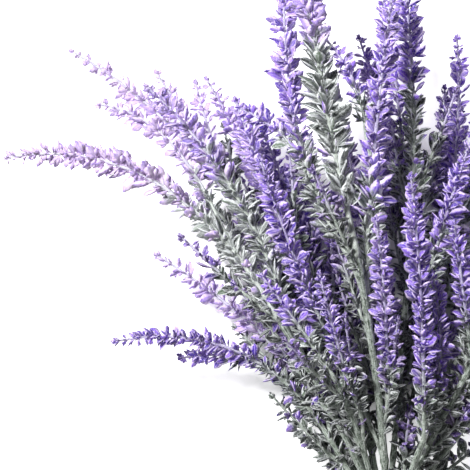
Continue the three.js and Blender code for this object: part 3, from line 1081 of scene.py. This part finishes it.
def makeStemGrowth(number, looks):
    stem = stems[number]
    stalks, leaves = freshMesh(), freshMesh()
    draw = random.Random("growth" + number)
    tied = stem.nearest(tie)
    settings = {**leafSettings, **stemLeafSettings, **looks}
    core = settings["core"]
    lower = tied + settings["leavesFrom"] * draw.uniform(*settings["leavesFromShares"])
    if lower < stem.length:
        addWhorls(leaves, stem, lower, lambda distance: core, settings, draw)
    settings = {**leafSettings, **spikeSettings, **sideShootSettings, **looks}
    side = 1 if int(number) % 2 else -1
    distance = tied + settings["shootsFrom"] * draw.uniform(*settings["shootsFromShares"])
    while distance < stem.length:
        path = sideShootPath(stem, distance, side, settings, draw)
        growShoot(stalks, leaves, path, [stem], settings, draw)
        side = -side
        distance += settings["shootGap"] * draw.uniform(*settings["shootGapShares"])
    for bm in (stalks, leaves):
        keepOffFloor(bm, floorSettings)
    if stalks.verts:
        addPiece("stem_" + number + "_sideshoots", stalks, bark)
        addPiece("stem_" + number + "_leaves", leaves, foliage)


for number in stems:
    makeStemGrowth(number, stemLooks.get(number, {}))
print("stem growth made")


# Twine: two plies twisted together, wound where the CAD winding is, with a knot on top and two short ends.
twineSettings = {
    "strand": 1.1 * millimetre,
    "turns": 5,
    "stepsPerTurn": 24,
    "plies": 2,
    "plyRadius": 0.6 * millimetre,
    "plyPitch": 4.5 * millimetre,
    "plyPress": 0.95,  # how far they stand from the strand's middle, against just touching its outside
    "step": 0.9 * millimetre,
    "sides": 7,
    "knotSteps": 36,
    "knotReach": 3,  # how far from its middle a plain trefoil reaches, at most
    "knotHeight": 0.55,  # the share of the CAD knot's height that it fills
    "endLength": 12 * millimetre,
    "endSteps": 4,
    "endBack": 0.5,  # how far back the ends point, against sideways
    "endRise": 1.5 * millimetre,
    "endDrop": 4 * millimetre,
}


def addTwine(bm, line, settings):
    offset = (settings["strand"] - settings["plyRadius"]) * settings["plyPress"]
    for ply in range(settings["plies"]):
        places = []
        for distance in stationsFor(line.length, settings["step"]):
            sideways, over, ahead = line.frameAt(distance)
            angle = 2 * math.pi * distance / settings["plyPitch"] + ply * 2 * math.pi / settings["plies"]
            places.append(line.at(distance) + offset * outwards(angle, sideways, over))
        plyPath = Path(places)
        stations = stationsFor(plyPath.length, settings["step"])
        growTube(bm, plyPath, stations, lambda distance: settings["plyRadius"], settings["sides"])


def windingLine(settings):
    outer = (tieHigh.x - tieLow.x) / 2 - settings["strand"]
    half = (tieHigh.y - tieLow.y) / 2 - settings["strand"]
    steps = settings["turns"] * settings["stepsPerTurn"]
    places = []
    for k in range(steps + 1):
        share = k / steps
        angle = math.pi / 2 + share * settings["turns"] * 2 * math.pi
        offset = Vector((outer * math.cos(angle), (2 * share - 1) * half, outer * math.sin(angle)))
        places.append(tie + offset)
    return Path(places)


def knotLine(settings):
    low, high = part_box("twine_knot")
    middle, size = (low + high) / 2, (high - low) / 2
    reach = settings["knotReach"]
    places = []
    for k in range(settings["knotSteps"] + 1):
        t = 2 * math.pi * k / settings["knotSteps"]
        across = math.sin(t) + 2 * math.sin(2 * t)
        along = math.cos(t) - 2 * math.cos(2 * t)
        knot = Vector((across, along, -math.sin(3 * t)))
        height = knot.z * size.z * settings["knotHeight"]
        places.append(middle + Vector((knot.x / reach * size.x, knot.y / reach * size.y, height)))
    return Path(places)


def endLine(side, settings):
    low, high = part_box("twine_knot")
    middle = (low + high) / 2
    reach = settings["endLength"]
    places = []
    for k in range(settings["endSteps"] + 1):
        share = k / settings["endSteps"]
        height = settings["endRise"] * math.sin(math.pi * share) - settings["endDrop"] * share * share
        places.append(middle + Vector((side * reach * share, -reach * settings["endBack"] * share, height)))
    return Path(places)


def makeTwine(settings):
    parts = (
        ("twine_winding_plies", [windingLine(settings)], ["twine_binding"]),
        ("twine_knot_plies", [knotLine(settings)], ["twine_knot"]),
        ("twine_ends", [endLine(-1, settings), endLine(1, settings)], []),
    )
    for name, lines, replaced in parts:
        bm = freshMesh()
        for line in lines:
            addTwine(bm, line, settings)
        addPiece(name, bm, jute, replaced)


makeTwine(twineSettings)
print("twine made")


# Stage: a plain pale floor, a soft sky and two broad lights.
white = (1, 1, 1, 1)

stageSettings = {
    "floorSize": 12.0,
    "floorColour": (0.9, 0.9, 0.9, 1),
    "fleckColour": (0.85, 0.85, 0.85, 1),
    "fleckScale": 40.0,
    "fleckShare": 0.02,
    "floorRoughness": 0.9,
    "floorGlow": 0.78,  # of its own, so that it stays pale
    "shadeAcross": 0.11,  # half the width of the patch beneath the bunch that glows less, a painted shadow
    "shadeAlong": 0.098,
    "shadeFrom": 0.158,  # how far its middle is from the tie
    "shadeEdge": (0.62, 1.1),  # where it starts to fade and where it has gone, as shares of its half width
    "shadeGlow": (0.024, 0.024, 0.024, 1),
    "skyStrength": 0.07,
    "keyPower": 37,
    "keyPlace": (-0.75, 0.65, 1.25),
    "keySize": 0.4,
    "fillPower": 3.6,
    "fillPlace": (1.0, -0.6, 1.7),
    "fillSize": 1.6,
}


def floorMaterial(settings):
    recipe = Recipe("paleFloor")
    place = recipe.place()
    flecks = recipe.noise(place, settings["fleckScale"]) * settings["fleckShare"]
    colour = recipe.mix(flecks, settings["floorColour"], settings["fleckColour"])
    # Painted shadow: the floor glows less in a patch beneath the bunch.
    across, along = recipe.parts(place)[:2]
    east = (across - tie.x) / settings["shadeAcross"]
    north = (along - (tie.y + settings["shadeFrom"])) / settings["shadeAlong"]
    clear = recipe.fade((east * east + north * north) ** 0.5, *settings["shadeEdge"])
    return recipe.finish(colour, {
        "Roughness": settings["floorRoughness"],
        "Emission Color": recipe.mix(clear, settings["shadeGlow"], white),
        "Emission Strength": settings["floorGlow"],
    })


def makeFloor(settings):
    bm = bmesh.new()
    bmesh.ops.create_grid(bm, x_segments=1, y_segments=1, size=settings["floorSize"] / 2)
    mesh = bpy.data.meshes.new("floor")
    bm.to_mesh(mesh)
    bm.free()
    mesh.materials.append(floorMaterial(settings))
    floor = bpy.data.objects.new("floor", mesh)
    bpy.context.scene.collection.objects.link(floor)


def makeSky(settings):
    world = bpy.data.worlds.new("softSky")
    world.use_nodes = True
    sky = world.node_tree.nodes["Background"]
    sky.inputs["Color"].default_value = white
    sky.inputs["Strength"].default_value = settings["skyStrength"]
    bpy.context.scene.world = world


def addLight(name, place, power, size):
    lamp = bpy.data.lights.new(name, "AREA")
    lamp.shape = "DISK"
    lamp.size = size
    lamp.energy = power
    holder = bpy.data.objects.new(name, lamp)
    holder.location = place
    holder.rotation_euler = Vector(place).to_track_quat("Z", "Y").to_euler()
    holder.visible_camera = False
    bpy.context.scene.collection.objects.link(holder)


def makeStage(settings):
    makeFloor(settings)
    makeSky(settings)
    addLight("keyLight", settings["keyPlace"], settings["keyPower"], settings["keySize"])
    addLight("fillLight", settings["fillPlace"], settings["fillPower"], settings["fillSize"])
    bpy.context.scene.view_settings.view_transform = "Standard"


makeStage(stageSettings)
print("stage made")
